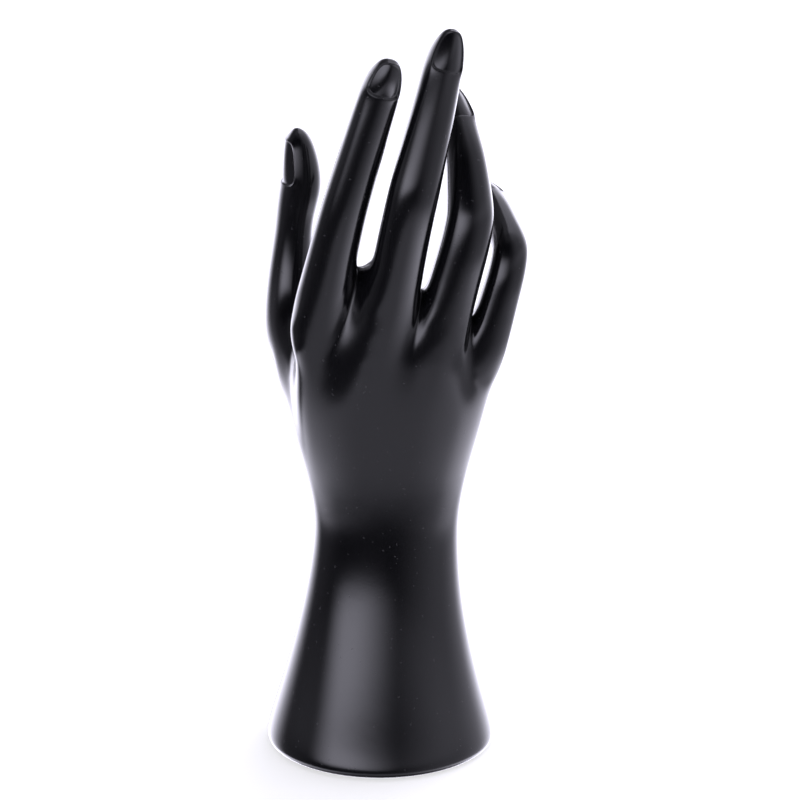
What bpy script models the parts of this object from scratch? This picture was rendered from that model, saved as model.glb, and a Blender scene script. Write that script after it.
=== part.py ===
"""A display hand for rings and bracelets: an upright right hand on a flared wrist, moulded in one piece.

The hand stands on the flat underside of its wrist. +Z is up, the back of the hand faces -Y, the palm faces +Y
and the thumb is on the -X side. The origin is the centre of the underside.

The surface is a cage of four-sided faces under a Subdivision Surface modifier. The cage's rings run from the
foot up to the knuckles, and from there one tube of eight-cornered rings makes each finger. Sizes are in
millimetres and angles in degrees, and the finished cage is scaled to metres.
"""

import math
from collections import namedtuple

import bmesh
import bpy
from mathutils import Matrix, Vector

MM = 0.001
SUBDIVISION = 1

# The foot and the flare up to the wrist.
FOOT_WIDTH = 75.0
FOOT_DEPTH = 72.5
FOOT_ROUNDING = 2.6
# How far in from the foot's outline the rings of its flat underside lie.
SOLE_MIDDLE = 6.0
SOLE_EDGE = 0.9
WRIST_HEIGHT = 67.0
WRIST_WIDTH = 46.1
WRIST_DEPTH = 34.0
WRIST_ACROSS = 1.9
FLARE_POWER = 1.53
FLARE_RINGS = 5

# Sections of the hand. Heights are above the wrist here and in all that follows, at the back and at the palm.
# Pads stand out under the thumb and the little finger. Places are shares of the half width, from the middle.
# The hand leans back from the wrist, so its sections stand out more and more on its back.
Section = namedtuple("Section", "back_height palm_height across out width back palm "
                     "thumb_pad thumb_place little_pad")
PALM = (
    Section(11.0, 11.0, 2.0, 0.0, 46.8, 16.5, 17.0, 2.0, -0.45, 1.0),
    Section(24.0, 22.5, 1.8, 0.4, 52.2, 16.5, 14.5, 7.5, -0.5, 4.0),
    Section(37.0, 36.0, 1.5, 2.6, 59.9, 15.8, 12.0, 11.5, -0.65, 6.0),
    Section(48.5, 49.5, 1.2, 4.9, 65.2, 15.0, 10.0, 14.5, -0.8, 6.0),
)
THUMB_PAD_REACH = 0.42
LITTLE_PAD_PLACE = 0.65
LITTLE_PAD_REACH = 0.4
# A section is a squarish oval of this power.
SECTION_POWER = 2.4

# Bones are (length, lean to +X, curl to the palm). Widths are at the root, the two joints and the nail.
Finger = namedtuple("Finger", "name knuckle turn bones widths")
INDEX = Finger("index", (-20.5, -10.5, 65.6), 8.0,
               ((43.5, 13.3, -9.3), (29.4, 16.9, -5.4), (20.5, 16.8, -6.4)), (17.2, 14.1, 12.4, 11.1))
MIDDLE = Finger("middle", (0.5, -13.9, 65.7), 18.0,
                ((49.6, 11.2, -8.8), (26.7, 13.9, 7.2), (23.3, 11.8, 11.7)), (16.0, 15.2, 12.6, 10.7))
RING = Finger("ring", (16.1, -13.0, 62.3), 16.0,
              ((43.3, 15.1, -3.4), (21.6, -4.3, 21.1), (23.2, -18.8, 43.1)), (15.8, 14.6, 11.8, 10.6))
LITTLE = Finger("little", (30.6, -8.3, 58.2), 16.0,
                ((37.4, 14.8, -2.5), (20.7, -25.9, 60.5), (15.6, -45.0, 74.3)), (12.9, 11.1, 10.1, 9.0))
FINGERS = (INDEX, MIDDLE, RING, LITTLE)
# Height of the skin at the thumb side of the index, between the fingers, and at the outside of the little.
WEBS = (75.5, 95.0, 84.8, 76.0, 66.5)

# The thumb rises from the side of the palm. Its stations are (place, width, depth) up to the tip.
THUMB_TURN = -75.0
# How far each palm section's side is drawn over to the thumb's ball, as a share of its half width.
THUMB_REACH = (0.06, 0.16, 0.26, 0.26)
THUMB_REACH_FADE = 0.55
Station = namedtuple("Station", "place width depth")
THUMB_ROOT = (-22.0, 10.0, 38.0)
THUMB = (
    Station((-28.6, 22.0, 57.6), 20.0, 16.2),
    Station((-29.4, 26.5, 65.9), 17.6, 15.4),
    Station((-29.1, 29.0, 74.3), 16.4, 14.4),
    Station((-28.4, 29.8, 83.0), 15.4, 13.4),
    Station((-27.6, 30.0, 91.9), 15.2, 11.9),
    Station((-26.8, 29.8, 99.1), 15.8, 12.2),
    Station((-25.0, 29.4, 107.0), 15.8, 13.5),
    Station((-24.7, 29.0, 112.5), 14.6, 12.0),
    Station((-25.2, 28.5, 118.0), 12.5, 10.3),
    Station((-26.0, 28.0, 123.0), 9.6, 8.0),
)
THUMB_TIP = (-27.2, 27.4, 128.4)

# A nail covers the back of the last few bands of a finger. Its rings lie one inside the other: how far in
# each lies and how high it stands, from the skin into the groove and up to the plate, as shares of the
# finger's width.
NAIL_RINGS = 3
NAIL_STEPS = ((0.022, 0.0), (0.036, -0.068), (0.034, 0.014))
NAIL_CROWN = 0.016
# The groove's share left at the tip.
NAIL_TIP_DEPTH = 0.2

# A ring of eight corners rounds off to a smaller circle, so it is drawn larger by this much.
EIGHTH = math.radians(45.0)
SWELL = 3.0 / (2.0 + math.cos(EIGHTH))
# Corner places around a tube, as shares of half the width and half the depth: back left first, then right.
ROUND = tuple((math.sin(EIGHTH * turn), math.cos(EIGHTH * turn)) for turn in range(-1, 7))
# The same places where a nail lies, which reaches further round. Its middle stands out a little more.
NAIL_ANGLES = tuple(math.radians(turn) for turn in (-57.0, 0.0, 57.0, 97.0, 138.0, 180.0, -138.0, -97.0))
NAIL_BACK = 1.05
NAIL_ROUND = tuple((math.sin(angle), math.cos(angle) if angle else NAIL_BACK) for angle in NAIL_ANGLES)

# Where a finger leaves the palm, as (share of half width, share of half depth, rise from knuckle to web).
ROOT = (
    (-0.80, 0.84, 0.30),
    (0.00, 1.00, 0.00),
    (0.80, 0.84, 0.30),
    (0.96, 0.00, 0.92),
    (0.72, -0.72, 0.90),
    (0.00, -1.00, 0.90),
    (-0.72, -0.72, 0.90),
    (-0.96, 0.00, 0.92),
)

# A finger turns to its own side as it rises, and has this share of its turn where it leaves the palm.
ROOT_TURN = 0.4

# Stations along a finger, as (bone, share of its length), and the last bone's taper to the tip.
STATIONS = ((0, 0.62), (0, 0.82), (1, 0.0), (1, 0.2), (1, 0.6),
            (2, 0.0), (2, 0.4), (2, 0.58), (2, 0.76), (2, 0.93))
# How far the finger's pads stand out on the palm's side at each station.
FULLNESS = (0.8, 0.4, -0.5, -0.3, 0.6, -0.5, 0.2, 0.6, 0.4, 0.0)
TAPER = (1.0, 1.0, 1.0, 1.0, 1.0, 1.0, 0.97, 0.92, 0.8, 0.49)
FINGER_DEPTH = 0.94
# A fingertip tapers from its pad more than from its nail: its centre moves to its back by this share of what
# the taper takes off.
TIP_LIFT = 0.82
# A bent joint is rounded off: its centre moves into the bend, this far where the bend is 60 degrees.
JOINT_ROUNDING = 1.6

# The ring between the last palm section and the knuckles lies this far up, and higher around the thumb's
# side: from the back through the side to the palm.
HALFWAY = 0.5
THUMB_WEB = (0.56, 0.68, 0.74, 0.62, 0.54)
# On that ring the valleys between the fingers are filled, by this share of what the hand's back rises.
VALLEY_FILL = 0.13

# A ring of the hand has this many corners on its back, as many on its palm, and one on each side.
COLUMNS = 12
# The thumb's opening leaves out this many columns of faces on its side of the palm.
THUMB_COLUMNS = 2


def above_wrist(place):
    """A place given from the wrist's height up."""
    return Vector(place) + Vector((0.0, 0.0, WRIST_HEIGHT))


def direction(lean, curl):
    """The way a bone points when it leans to +X and curls to the palm."""
    lean = math.radians(lean)
    curl = math.radians(curl)
    return Vector((math.sin(lean) * math.cos(curl), math.sin(curl), math.cos(lean) * math.cos(curl)))


def across_and_back(turn, along):
    """The two ways across a tube that points along: to its right side, and out of its back."""
    hinge = Vector((math.cos(math.radians(turn)), math.sin(math.radians(turn)), 0.0))
    right = (hinge - along * hinge.dot(along)).normalized()
    return right, right.cross(along)


def tube_ring(centre, along, turn, width, depth, fullness, places):
    """Eight corners around a tube, with its palm side standing out by fullness."""
    right, back = across_and_back(turn, along)
    half_width = width * SWELL / 2.0
    half_depth = depth * SWELL / 2.0
    corners = []
    for side, out in places:
        out_of_back = half_depth * out + fullness * min(out, 0.0)
        corners.append(centre + right * (half_width * side) + back * out_of_back)
    return corners


class Cage:
    """Corners and faces of the whole hand."""

    def __init__(self):
        self.corners = []
        self.faces = []
        self.nails = []

    def add(self, points):
        """Adds corners and gives their numbers."""
        first = len(self.corners)
        self.corners.extend(points)
        return list(range(first, len(self.corners)))

    def band(self, lower, upper, left_out=0):
        """Faces between two rings of as many corners, without the last ones that are left out."""
        count = len(lower)
        for here in range(count - left_out):
            after = (here + 1) % count
            self.faces.append((lower[here], lower[after], upper[after], upper[here]))

    def cap(self, ring, tip):
        """Four faces that close a ring of eight corners over its tip."""
        centre = self.add([tip])[0]
        for corner in range(0, len(ring), 2):
            self.faces.append((ring[corner], ring[corner + 1], ring[(corner + 2) % len(ring)], centre))


def finger_joints(finger):
    """The knuckle, the two joints and the tip, with the bones' directions."""
    joints = [above_wrist(finger.knuckle)]
    ways = []
    for length, lean, curl in finger.bones:
        ways.append(direction(lean, curl))
        joints.append(joints[-1] + ways[-1] * length)
    return joints, ways


def root_ring(finger, web_left, web_right):
    """The eight corners where a finger leaves the palm: low at the knuckle, high at the webs and palm."""
    joints, ways = finger_joints(finger)
    knuckle, along = joints[0], ways[0]
    right, back = across_and_back(finger.turn * ROOT_TURN, along)
    half_width = finger.widths[0] * SWELL / 2.0
    half_depth = half_width * FINGER_DEPTH
    corners = []
    for side, out, rise in ROOT:
        web = web_left * (1.0 - side) / 2.0 + web_right * (1.0 + side) / 2.0
        height = rise * (WRIST_HEIGHT + web - knuckle.z)
        across = right * (half_width * side) + back * (half_depth * out)
        corners.append(knuckle + along * (height / along.z) + across)
    return corners


def finger_rings(finger):
    """The rings from above the web to near the tip, and the tip."""
    joints, ways = finger_joints(finger)
    rings = []
    nail = len(STATIONS) - 1 - NAIL_RINGS
    for number, ((bone, share), taper, fullness) in enumerate(zip(STATIONS, TAPER, FULLNESS)):
        centre = joints[bone].lerp(joints[bone + 1], share)
        along = ways[bone]
        if share == 0.0:
            along = (ways[bone - 1] + ways[bone]).normalized()
            centre += (ways[bone] - ways[bone - 1]) * JOINT_ROUNDING
        width = finger.widths[bone] * (1.0 - share) + finger.widths[bone + 1] * share
        back = across_and_back(finger.turn, along)[1]
        centre += back * (width * FINGER_DEPTH / 2.0 * (1.0 - taper) * TIP_LIFT)
        width *= taper
        places = ROUND if number < nail else NAIL_ROUND
        rings.append(tube_ring(centre, along, finger.turn, width, width * FINGER_DEPTH, fullness, places))
    tip = joints[-1] + back * (finger.widths[-1] * FINGER_DEPTH / 2.0 * TIP_LIFT * TIP_LIFT)
    return rings, tip


def flare_rings():
    """Widths and depths from the foot to the wrist, as (height, across, width, depth)."""
    rings = []
    for step in range(FLARE_RINGS + 1):
        share = step / FLARE_RINGS
        height = FOOT_ROUNDING + (WRIST_HEIGHT - FOOT_ROUNDING) * share
        spread = (1.0 - share) ** FLARE_POWER
        width = WRIST_WIDTH + (FOOT_WIDTH - WRIST_WIDTH) * spread
        depth = WRIST_DEPTH + (FOOT_DEPTH - WRIST_DEPTH) * spread
        rings.append((height, WRIST_ACROSS * share * share, width, depth))
    return rings


def oval_ring(height, across, width, depth):
    """A ring of the wrist, with its corners evenly spaced around an oval."""
    corners = []
    count = 2 * COLUMNS + 2
    for corner in range(count):
        angle = 2.0 * math.pi * (corner + 1) / count
        right = across - width / 2.0 * math.cos(angle)
        corners.append(Vector((right, -depth / 2.0 * math.sin(angle), height)))
    return corners


def bump(place, centre, reach):
    """A soft rise of one at centre."""
    return math.exp(-((place - centre) / reach) ** 2)


def palm_ring(section, columns, thumb_reach):
    """A ring of the palm, with its corners at the columns' places across."""
    half = section.width / 2.0
    corners = []
    for place in columns:
        arch = (1.0 - abs(place) ** SECTION_POWER) ** (1.0 / SECTION_POWER)
        depth = -section.out - section.back * arch
        corners.append((section.across + half * place, depth, section.back_height))
    side_height = (section.back_height + section.palm_height) / 2.0
    corners.append((section.across + half, -section.out, side_height))
    for place in reversed(columns):
        place += thumb_reach * bump(place, -1.0, THUMB_REACH_FADE)
        arch = (1.0 - abs(place) ** SECTION_POWER) ** (1.0 / SECTION_POWER)
        pads = section.thumb_pad * bump(place, section.thumb_place, THUMB_PAD_REACH)
        pads += section.little_pad * bump(place, LITTLE_PAD_PLACE, LITTLE_PAD_REACH)
        depth = -section.out + section.palm * arch + pads
        corners.append((section.across + half * place, depth, section.palm_height))
    corners.append((section.across - half, -section.out, side_height))
    return [above_wrist(corner) for corner in corners]


def even_columns():
    """Places across the oval, evenly spaced by angle."""
    count = COLUMNS + 1
    return [-math.cos(math.pi * (column + 1) / count) for column in range(COLUMNS)]


def knuckle_columns(roots):
    """Places across the knuckles, as the fingers' backs have them."""
    top = PALM[-1]
    columns = []
    for root in roots:
        columns.extend((corner.x - top.across) / (top.width / 2.0) for corner in root[:3])
    return [max(-0.985, min(0.985, place)) for place in columns]


def build_cage():
    """The whole hand: foot, flare, palm, four fingers and thumb."""
    cage = Cage()
    roots = [root_ring(finger, WEBS[i], WEBS[i + 1]) for i, finger in enumerate(FINGERS)]
    even = even_columns()
    knuckles = knuckle_columns(roots)

    flare = flare_rings()
    across, width, depth = flare[0][1:]
    below = cage.add(oval_ring(0.0, across, width - 2.0 * SOLE_MIDDLE, depth - 2.0 * SOLE_MIDDLE))
    cage.faces.append(tuple(reversed(below)))
    edge = (0.0, across, width - 2.0 * SOLE_EDGE, depth - 2.0 * SOLE_EDGE)
    for place in [edge] + flare:
        ring = cage.add(oval_ring(*place))
        cage.band(below, ring)
        below = ring
    levels = []
    for number, section in enumerate(PALM):
        share = (number + 1) / (len(PALM) + 1)
        columns = [a + (b - a) * share for a, b in zip(even, knuckles)]
        ring = cage.add(palm_ring(section, columns, THUMB_REACH[number]))
        cage.band(below, ring, THUMB_COLUMNS if number == len(PALM) - 1 else 0)
        levels.append(ring)
        below = ring

    levels.append(build_fingers(cage, roots, below))
    build_thumb(cage, levels[-3:])
    return cage


def build_fingers(cage, roots, below):
    """The knuckle ring, the webs and the four fingers."""
    backs = []
    palms = []
    for root in roots:
        backs.append(cage.add(root[:3]))
        palms.append(cage.add(list(reversed(root[4:7]))))
    sides = []
    left = cage.add([roots[0][7]])[0]
    for i in range(len(roots)):
        right = cage.add([roots[i][3]])[0]
        sides.append((left, right))
        if i + 1 < len(roots):
            left = cage.add([roots[i + 1][7]])[0]
    knuckles = [c for back in backs for c in back] + [sides[-1][1]]
    knuckles += [c for palm in reversed(palms) for c in reversed(palm)] + [sides[0][0]]
    shares = [HALFWAY] * len(knuckles)
    for step, share in enumerate(THUMB_WEB):
        shares[1 - step] = share
    between = cage.add([cage.corners[a].lerp(cage.corners[b], share)
                        for a, b, share in zip(below, knuckles, shares)])
    fill_valleys(cage, len(backs[0]), below, between, knuckles)
    cage.band(below, between, THUMB_COLUMNS)
    cage.band(between, knuckles)
    for i in range(len(roots) - 1):
        right_of, left_of = sides[i][1], sides[i + 1][0]
        cage.faces.append((backs[i][2], backs[i + 1][0], left_of, right_of))
        cage.faces.append((right_of, left_of, palms[i + 1][0], palms[i][2]))
    for i, finger in enumerate(FINGERS):
        ring = backs[i] + [sides[i][1]] + list(reversed(palms[i])) + [sides[i][0]]
        build_tube(cage, ring, *finger_rings(finger), finger.widths[-1])
    return between


def fill_valleys(cage, on_back, below, between, knuckles):
    """Fills the valleys between the fingers halfway up. Each finger's back has on_back corners."""
    for valley in range(on_back, on_back * len(FINGERS), on_back):
        for side in (valley - 1, valley):
            rise = cage.corners[knuckles[side]].y - cage.corners[below[side]].y
            cage.corners[between[side]].y += rise * VALLEY_FILL


def build_tube(cage, ring, rings, tip, nail_width):
    """A finger from the ring that it leaves to its tip."""
    cuticle = len(rings) - 1 - NAIL_RINGS
    plate = []
    for station, points in enumerate(rings):
        following = cage.add(points)
        if station > cuticle:
            plate.extend((len(cage.faces), len(cage.faces) + 1))
        cage.band(ring, following)
        ring = following
    cage.nails.append((plate, rings[cuticle][1], rings[-1][1], nail_width))
    cage.cap(ring, tip)


def build_thumb(cage, levels):
    """The thumb, from the opening in the side of the palm."""
    low, middle, high = levels
    back, left, palm = 0, -1, -2
    ring = [low[palm], low[left], low[back], middle[back], high[back], high[left], high[palm], middle[palm]]
    centres = [above_wrist(station.place) for station in THUMB] + [above_wrist(THUMB_TIP)]
    before = above_wrist(THUMB_ROOT)
    rings = []
    nail = len(THUMB) - 1 - NAIL_RINGS
    for number, station in enumerate(THUMB):
        along = (centres[number + 1] - before).normalized()
        places = ROUND if number < nail else NAIL_ROUND
        rings.append(tube_ring(centres[number], along, THUMB_TURN, station.width, station.depth, 0.0, places))
        before = centres[number]
    build_tube(cage, ring, rings, centres[-1], THUMB[-2].width)


def plastic():
    """Satin black moulded plastic."""
    material = bpy.data.materials.new("satin_black_plastic")
    material.use_nodes = True
    shader = material.node_tree.nodes["Principled BSDF"]
    shader.inputs["Base Color"].default_value = (0.006, 0.006, 0.007, 1.0)
    shader.inputs["Roughness"].default_value = 0.28
    shader.inputs["Metallic"].default_value = 0.0
    return material


def carve_nail(form, faces, cuticle, tip, width):
    """Sets a nail into the back of a fingertip, in a groove that fades out towards the tip."""
    for inward, rise in NAIL_STEPS:
        bmesh.ops.inset_region(form, faces=faces, thickness=inward * width, use_even_offset=True)
        inside = set(faces)
        corners = {corner for face in faces for corner in face.verts}
        rim = [corner for corner in corners if not inside.issuperset(corner.link_faces)]
        for corner in rim:
            along = (corner.co - cuticle).dot(tip - cuticle) / (tip - cuticle).length_squared
            along = max(0.0, min(1.0, along))
            corner.co += corner.normal * (rise * width * (1.0 - along * (1.0 - NAIL_TIP_DEPTH)))
    for corner in corners.difference(rim):
        corner.co += corner.normal * (NAIL_CROWN * width)


def make_hand():
    """The hand as one object named for its node."""
    cage = build_cage()
    mesh = bpy.data.meshes.new("hand")
    mesh.from_pydata([tuple(corner) for corner in cage.corners], [], cage.faces)
    form = bmesh.new()
    form.from_mesh(mesh)
    form.faces.ensure_lookup_table()
    nails = [([form.faces[number] for number in plate], *place) for plate, *place in cage.nails]
    for faces, cuticle, tip, width in nails:
        form.normal_update()
        carve_nail(form, faces, cuticle, tip, width)
    bmesh.ops.scale(form, vec=(MM, MM, MM), verts=form.verts)
    form.to_mesh(mesh)
    form.free()
    mesh.shade_smooth()
    mesh.materials.append(plastic())
    hand = bpy.data.objects.new("hand", mesh)
    bpy.context.scene.collection.objects.link(hand)
    smooth = hand.modifiers.new("rounding", "SUBSURF")
    smooth.levels = SUBDIVISION
    smooth.render_levels = SUBDIVISION
    smooth.use_limit_surface = False
    return hand


def main():
    for old in list(bpy.data.objects):
        bpy.data.objects.remove(old, do_unlink=True)
    make_hand()


main()
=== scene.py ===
"""A display hand for rings and bracelets, in satin black moulded plastic, on a white sheet.

+Z is up. The back of the hand faces the camera along -Y and the thumb is on the -X side. Sizes are in metres.
"""

import math

import bpy
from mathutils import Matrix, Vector


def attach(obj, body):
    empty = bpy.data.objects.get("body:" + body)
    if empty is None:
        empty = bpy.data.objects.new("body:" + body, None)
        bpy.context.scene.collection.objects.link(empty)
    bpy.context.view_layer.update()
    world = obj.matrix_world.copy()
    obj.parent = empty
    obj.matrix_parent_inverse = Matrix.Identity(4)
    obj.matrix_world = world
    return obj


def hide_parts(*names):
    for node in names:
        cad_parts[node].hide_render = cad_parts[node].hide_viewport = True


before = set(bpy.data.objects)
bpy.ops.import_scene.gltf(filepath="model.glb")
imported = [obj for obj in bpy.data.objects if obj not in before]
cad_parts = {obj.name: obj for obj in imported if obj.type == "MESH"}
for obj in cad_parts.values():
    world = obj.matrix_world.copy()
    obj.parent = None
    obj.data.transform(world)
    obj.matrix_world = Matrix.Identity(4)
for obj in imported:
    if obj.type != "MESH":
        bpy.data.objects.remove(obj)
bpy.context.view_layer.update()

# The camera looks along +Y and a little down. PIXEL is the width of one picture point at the aim.
CAMERA_AIM = (0.00615, 0.0, 0.11213)
CAMERA_DISTANCE = 0.7
CAMERA_ELEVATION = 16.0
PIXEL = 0.00031
PICTURE = 800
SENSOR = 36.0

# The moulding's mesh. Pairs of triangles become four-sided faces, up to QUAD_ANGLE out of flat and square.
# FINER is how often they are subdivided.
MERGE = 0.00001
QUAD_ANGLE = 40.0
FINER = 2

# The plastic. A noise is given by its scale, in patches for each metre, and its number of finer layers.
CLOUD = (24.0, 3.0)
GRAIN = (1600.0, 2.0)
RIPPLE = (160.0, 1.0)
FLECK = (1100.0, 0.0)
DUST_EDGE = (0.8, 0.84)
DEEP_BLACK = (0.0022, 0.0022, 0.003, 1.0)
PALE_BLACK = (0.0034, 0.0034, 0.0044, 1.0)
DUST_COLOUR = (0.022, 0.022, 0.024, 1.0)
SATIN_ROUGHNESS = 0.13
CLOUD_ROUGHNESS = 0.08
DUST_ROUGHNESS = 0.1
GRAIN_SHARE = 0.35
DUST_SHARE = 0.3
RELIEF_STRENGTH = 0.06
RELIEF_HEIGHT = 0.0003
PLASTIC_IOR = 1.5

# The white sheet that the hand stands on. It lies a hair under the foot.
SHEET_SIDE = 8.0
SHEET_DROP = 0.0003
SHEET_COLOUR = (0.8, 0.8, 0.8, 1.0)
SHEET_ROUGHNESS = 0.7
SHEET_GLOW = 0.6
WHITE = (1.0, 1.0, 1.0, 1.0)

# The studio round the hand, as its surface mirrors it. Directions are degrees round from the camera's side,
# with the right side positive, and degrees up. A soft edge is given by where it starts and where it ends.
SOFTBOX_LEFT_EDGE = (-73.0, -43.0)
SOFTBOX_RIGHT_EDGE = (-38.0, 20.0)
SOFTBOX_LOW_EDGE = (-6.5, 3.5)
SOFTBOX_HIGH_EDGE = (13.0, 27.0)
SOFTBOX_POWER = 3.55
SPILL_LOW_EDGE = (-4.0, 10.0)
SPILL_HIGH_EDGE = (10.0, 26.0)
SPILL_POWER = 0.25
WALL_EDGE = (0.0, 75.0)
WALL_POWER = 0.66
WALL_SIDE_EDGE = (75.0, 125.0)
WALL_SIDE_POWER = 0.7
LEFT_EDGE = (-50.0, -95.0)
LEFT_POWER = 0.16
BACK_LEFT_EDGE = (-106.0, -144.0)
BACK_RIGHT_EDGE = (110.0, 152.0)
BACK_HIGH_EDGE = (18.0, 34.0)
BACK_POWER = 3.8
BACK_MIDDLE_EDGE = (148.0, 172.0)
BACK_MIDDLE_SHARE = 0.25
TOP_EDGE = (48.0, 75.0)
TOP_POWER = 0.25
ROOM_POWER = 0.015
STUDIO_TINT = (0.99, 0.97, 1.13, 1.0)

# The white table in the mirrored studio. Its edge lies lower to the sides, and it is dark close to the foot.
TABLE_EDGE = (-18.0, -25.5)
TABLE_DIP_EDGE = (0.0, 62.0)
TABLE_DIP = 7.0
TABLE_POWER = 0.78
TABLE_SIDE_EDGE = (10.0, 125.0)
TABLE_SIDE_POWER = 4.2
TABLE_FOOT_EDGE = (-36.0, -54.0)
TABLE_FOOT_SHADE = 0.88


def deselect():
    """Leaves nothing selected and nothing active."""
    bpy.ops.object.select_all(action="DESELECT")
    bpy.context.view_layer.objects.active = None


def activate(piece):
    """Makes one object the selected and active one."""
    deselect()
    piece.select_set(True)
    bpy.context.view_layer.objects.active = piece


class Value:
    """A shader socket that can be used in sums. Each operator adds its Math nodes."""

    def __init__(self, tree, socket):
        self.tree = tree
        self.socket = socket

    def math(self, operation, *others):
        """Adds a Math node with this value first."""
        return self.tree.node("ShaderNodeMath", {"operation": operation}, [self, *others])

    def __add__(self, other):
        return self.math("ADD", other)

    def __mul__(self, other):
        return self.math("MULTIPLY", other)

    def __sub__(self, other):
        return self.math("SUBTRACT", other)

    def __rsub__(self, other):
        return self * -1.0 + other

    __radd__ = __add__
    __rmul__ = __mul__


class Tree:
    """The nodes of one material or world."""

    def __init__(self, owner):
        owner.use_nodes = True
        self.tree = owner.node_tree

    def node(self, kind, settings, sockets, output=0):
        """Adds a node, sets it up and fills its sockets, which are given by number or by name."""
        made = self.tree.nodes.new(kind)
        for name, value in settings.items():
            setattr(made, name, value)
        pairs = enumerate(sockets) if isinstance(sockets, list) else sockets.items()
        for key, value in pairs:
            self.fill(made.inputs[key], value)
        return Value(self, made.outputs[output])

    def fill(self, socket, value):
        """Links a socket, or sets its number or colour."""
        if isinstance(value, Value):
            self.tree.links.new(value.socket, socket)
        else:
            socket.default_value = value

    def parts(self, value):
        """The three numbers of a direction."""
        made = self.tree.nodes.new("ShaderNodeSeparateXYZ")
        self.fill(made.inputs[0], value)
        return [Value(self, output) for output in made.outputs]

    def shader(self, name):
        """The shader node that the owner starts with."""
        return self.tree.nodes[name]


def blend(tree, share, low, high):
    """A colour between two."""
    return tree.node("ShaderNodeMix", {"data_type": "RGBA"}, {0: share, 6: low, 7: high}, 2)


def noise(tree, place, pattern):
    """Soft noise on the surface, from its scale and its number of finer layers."""
    scale, detail = pattern
    return tree.node("ShaderNodeTexNoise", {}, {"Vector": place, "Scale": scale, "Detail": detail}, "Fac")


def step(tree, value, edge):
    """Rises smoothly over an edge, from nothing at its start to one at its end."""
    start, end = edge
    settings = {"interpolation_type": "SMOOTHSTEP"}
    return tree.node("ShaderNodeMapRange", settings, {"Value": value, "From Min": start, "From Max": end})


def satin_plastic():
    """Black moulded plastic with a satin surface, a faint moulded grain and ripple, and a little dust."""
    material = bpy.data.materials.new("satin_black_plastic")
    tree = Tree(material)
    shader = tree.shader("Principled BSDF")
    place = tree.node("ShaderNodeTexCoord", {}, {}, "Object")
    cloud = noise(tree, place, CLOUD)
    dust = step(tree, noise(tree, place, FLECK), DUST_EDGE)
    tint = blend(tree, cloud, DEEP_BLACK, PALE_BLACK)
    tree.fill(shader.inputs["Base Color"], blend(tree, dust, tint, DUST_COLOUR))
    roughness = SATIN_ROUGHNESS + cloud * CLOUD_ROUGHNESS + dust * DUST_ROUGHNESS
    tree.fill(shader.inputs["Roughness"], roughness)
    height = noise(tree, place, RIPPLE) + noise(tree, place, GRAIN) * GRAIN_SHARE + dust * DUST_SHARE
    relief = {"Strength": RELIEF_STRENGTH, "Distance": RELIEF_HEIGHT, "Height": height}
    tree.fill(shader.inputs["Normal"], tree.node("ShaderNodeBump", {}, relief))
    shader.inputs["IOR"].default_value = PLASTIC_IOR
    return material


def white_paper():
    """Plain white paper that glows a little, so that it stays white where the studio is dark."""
    material = bpy.data.materials.new("white_paper")
    shader = Tree(material).shader("Principled BSDF")
    shader.inputs["Base Color"].default_value = SHEET_COLOUR
    shader.inputs["Roughness"].default_value = SHEET_ROUGHNESS
    shader.inputs["Emission Color"].default_value = WHITE
    shader.inputs["Emission Strength"].default_value = SHEET_GLOW
    return material


def make_hand():
    """The moulding, from a finer copy of its CAD mesh."""
    deselect()
    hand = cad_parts["hand"].copy()
    hand.data = hand.data.copy()
    hand.name = "hand_moulding"
    bpy.context.scene.collection.objects.link(hand)
    hand.data.materials.clear()
    hand.data.materials.append(satin_plastic())
    activate(hand)
    bpy.ops.object.mode_set(mode="EDIT")
    bpy.ops.mesh.select_all(action="SELECT")
    bpy.ops.mesh.remove_doubles(threshold=MERGE)
    bpy.ops.mesh.tris_convert_to_quads(face_threshold=math.radians(QUAD_ANGLE),
                                       shape_threshold=math.radians(QUAD_ANGLE))
    bpy.ops.object.mode_set(mode="OBJECT")
    finer = hand.modifiers.new("finer", "SUBSURF")
    finer.levels = FINER
    finer.render_levels = FINER
    bpy.ops.object.modifier_apply(modifier=finer.name)
    bpy.ops.object.shade_smooth()
    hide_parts("hand")
    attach(hand, "root")


def make_sheet():
    """The white sheet under and behind the hand. The hand mirrors the studio's table in its place."""
    deselect()
    bpy.ops.mesh.primitive_plane_add(size=SHEET_SIDE, location=(0.0, 0.0, -SHEET_DROP))
    sheet = bpy.context.active_object
    sheet.name = "white_sheet"
    sheet.data.materials.append(white_paper())
    sheet.visible_glossy = False


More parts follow.
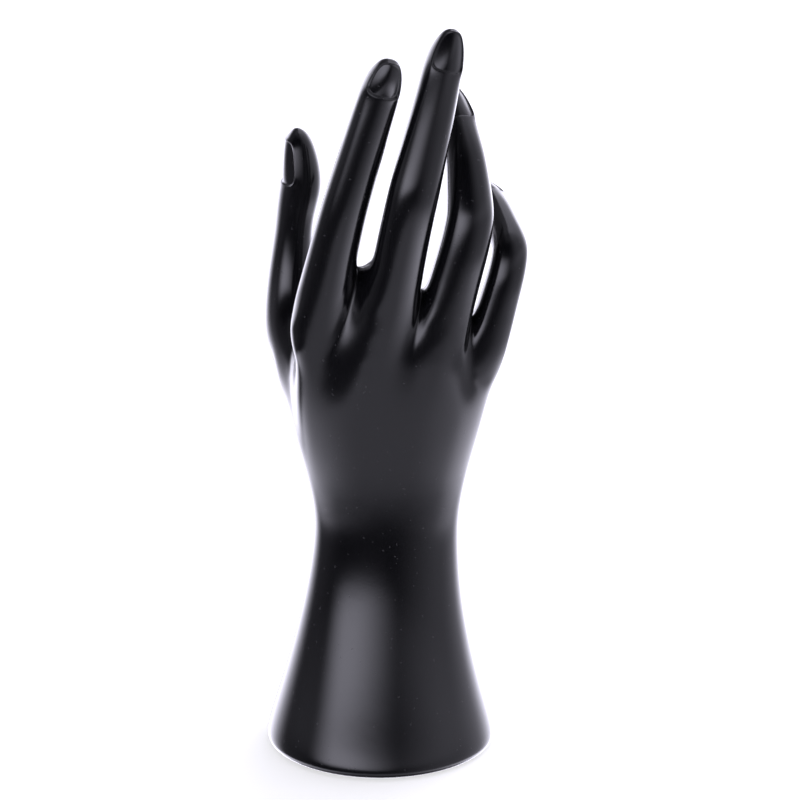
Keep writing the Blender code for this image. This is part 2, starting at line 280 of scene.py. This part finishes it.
def room_light(tree, side, up, away):
    """The light above the table: a softbox at the front left, pale walls, a bright back and a ceiling."""
    across = step(tree, side, SOFTBOX_LEFT_EDGE) * (1.0 - step(tree, side, SOFTBOX_RIGHT_EDGE))
    upright = step(tree, up, SOFTBOX_LOW_EDGE) * (1.0 - step(tree, up, SOFTBOX_HIGH_EDGE))
    softbox = across * upright * SOFTBOX_POWER
    spill = step(tree, up, SPILL_LOW_EDGE) * (1.0 - step(tree, up, SPILL_HIGH_EDGE)) * SPILL_POWER
    wall = step(tree, side, WALL_EDGE) * WALL_POWER + step(tree, side, WALL_SIDE_EDGE) * WALL_SIDE_POWER
    left = step(tree, side, LEFT_EDGE) * LEFT_POWER
    behind = step(tree, side, BACK_LEFT_EDGE) + step(tree, side, BACK_RIGHT_EDGE)
    middle = 1.0 - step(tree, away, BACK_MIDDLE_EDGE) * (1.0 - BACK_MIDDLE_SHARE)
    back = behind * middle * (1.0 - step(tree, up, BACK_HIGH_EDGE)) * BACK_POWER
    top = step(tree, up, TOP_EDGE) * TOP_POWER
    return softbox + spill + wall + left + back + top + ROOM_POWER


def table_light(tree, up, away):
    """The white table's light, brighter to the sides and back."""
    table = step(tree, away, TABLE_SIDE_EDGE) * TABLE_SIDE_POWER + TABLE_POWER
    return table * (1.0 - step(tree, up, TABLE_FOOT_EDGE) * TABLE_FOOT_SHADE)


def make_world():
    """The studio that the hand mirrors. The camera itself sees plain white."""
    world = bpy.data.worlds.new("studio")
    bpy.context.scene.world = world
    tree = Tree(world)
    x, y, z = tree.parts(tree.node("ShaderNodeTexCoord", {}, {}, "Generated"))
    degree = math.degrees(1.0)
    side = x.math("ARCTAN2", y * -1.0) * degree
    up = z.math("ARCSINE") * degree
    away = side.math("ABSOLUTE")
    below = step(tree, up + step(tree, away, TABLE_DIP_EDGE) * TABLE_DIP, TABLE_EDGE)
    level = room_light(tree, side, up, away) * (1.0 - below) + table_light(tree, up, away) * below
    seen = tree.node("ShaderNodeLightPath", {}, {}, "Is Camera Ray")
    shader = tree.shader("Background")
    tree.fill(shader.inputs["Strength"], level * (1.0 - seen) + seen)
    tree.fill(shader.inputs["Color"], blend(tree, seen, STUDIO_TINT, WHITE))


def make_camera():
    """The camera, at the photograph's angle and distance."""
    data = bpy.data.cameras.new("camera")
    data.sensor_width = SENSOR
    data.lens = SENSOR * CAMERA_DISTANCE / (PIXEL * PICTURE)
    camera = bpy.data.objects.new("camera", data)
    bpy.context.scene.collection.objects.link(camera)
    lift = math.radians(CAMERA_ELEVATION)
    back = Vector((0.0, -math.cos(lift), math.sin(lift)))
    camera.location = Vector(CAMERA_AIM) + back * CAMERA_DISTANCE
    camera.rotation_euler = (-back).to_track_quat("-Z", "Y").to_euler()
    bpy.context.scene.camera = camera
    bpy.context.scene.view_settings.view_transform = "Standard"


make_hand()
make_sheet()
make_world()
make_camera()
